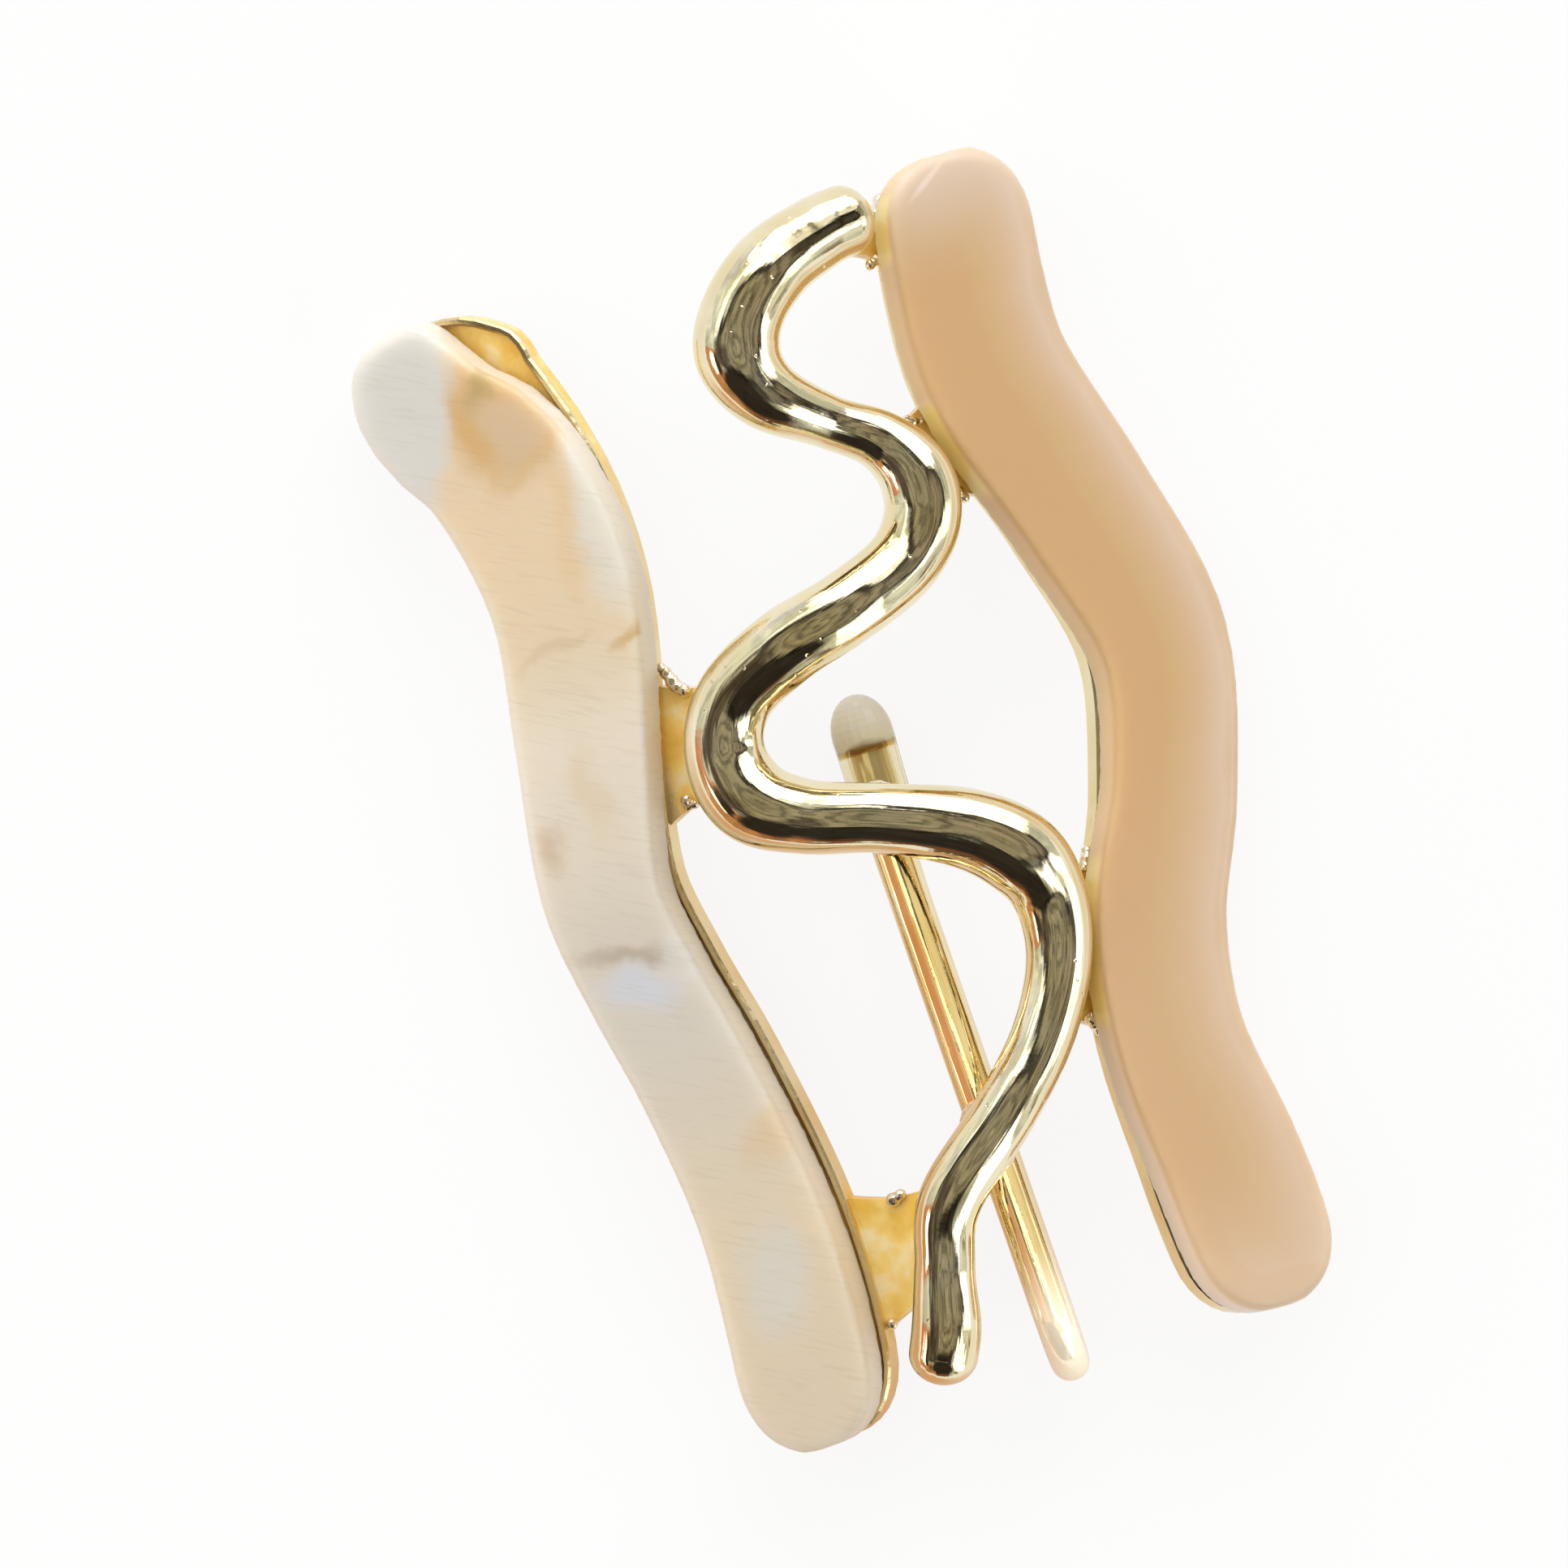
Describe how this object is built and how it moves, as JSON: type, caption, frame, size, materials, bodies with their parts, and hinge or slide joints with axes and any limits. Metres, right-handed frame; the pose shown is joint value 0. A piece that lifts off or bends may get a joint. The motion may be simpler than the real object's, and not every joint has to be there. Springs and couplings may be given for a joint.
{
  "type": "ponytail hook clip",
  "caption": "Ponytail hook clip: wavy acetate bars in gilt trays beside a polished wave-shaped rod, with a U-shaped wire hook behind that slides under a hair elastic",
  "frame": {"origin": "below the middle of the clip's bounding box, at the height of its lowest point", "axes": "+Y runs along the clip from its bottom to its top, +Z out of its decorated face, +X to the right seen from the face"},
  "size_m": [0.0268, 0.042, 0.0094],
  "materials": {
    "gold_plate": "polished gold plating",
    "gold_solder": "gold plated over solder, slightly rough",
    "peach_acetate": "translucent, softly polished",
    "marbled_acetate": "marbled, translucent, softly polished",
    "clear_adhesive": "clear film",
    "clear_resin": "clear, glossy, dipped"
  },
  "bodies": {
    "root": {"right_tray": "gold_plate", "left_tray": "gold_plate", "right_inlay": "peach_acetate", "left_inlay": "marbled_acetate", "right_adhesive": "clear_adhesive", "left_adhesive": "clear_adhesive", "wave_bar": "gold_plate", "hook_wire": "gold_plate", "hook_tip": "clear_resin", "solder_right_top": "gold_solder", "solder_right_upper": "gold_solder", "solder_left_middle": "gold_solder", "solder_right_lower": "gold_solder", "solder_left_bottom": "gold_solder", "hook_solder_upper": "gold_solder", "hook_solder_lower": "gold_solder"}
  },
  "joints": []
}
